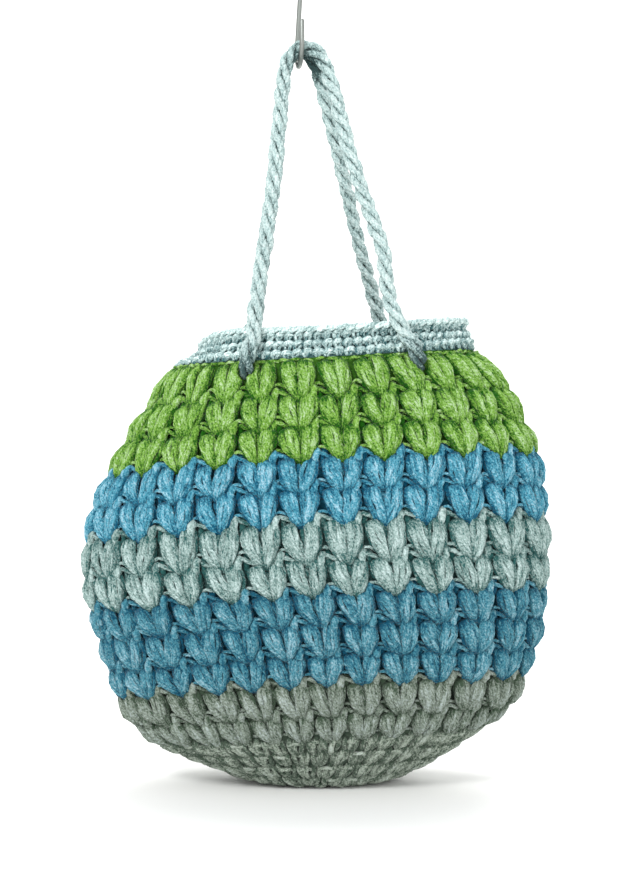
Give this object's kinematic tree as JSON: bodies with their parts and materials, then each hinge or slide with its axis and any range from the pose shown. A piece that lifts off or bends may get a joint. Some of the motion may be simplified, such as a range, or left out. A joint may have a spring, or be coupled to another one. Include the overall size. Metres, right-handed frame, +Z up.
{
  "type": "crochet handbag on an s-hook",
  "caption": "Round flattened crochet handbag of heart-shaped puff stitches in coloured bands, with a plain neck band and twisted rope handles hung on a wire S-hook.",
  "frame": {"origin": "middle of the flat face under the base, on the surface that the bag just stands on while it hangs", "axes": "+Z up, -Y towards the front of the bag, +X to the right seen from the front; the flat faces of the round body look along Y"},
  "size_m": [0.2701, 0.1215, 0.482],
  "materials": {
    "bag_body": "crocheted cotton yarn, matt, in bands of green, blue, grey, blue and grey with a pale teal neck band",
    "cord": "twisted cotton cord, matt, pale teal",
    "hook": "bright plated wire"
  },
  "bodies": {
    "root": {"bag_body": "bag_body", "handle_front": "cord", "handle_back": "cord", "hook": "hook"}
  },
  "joints": []
}
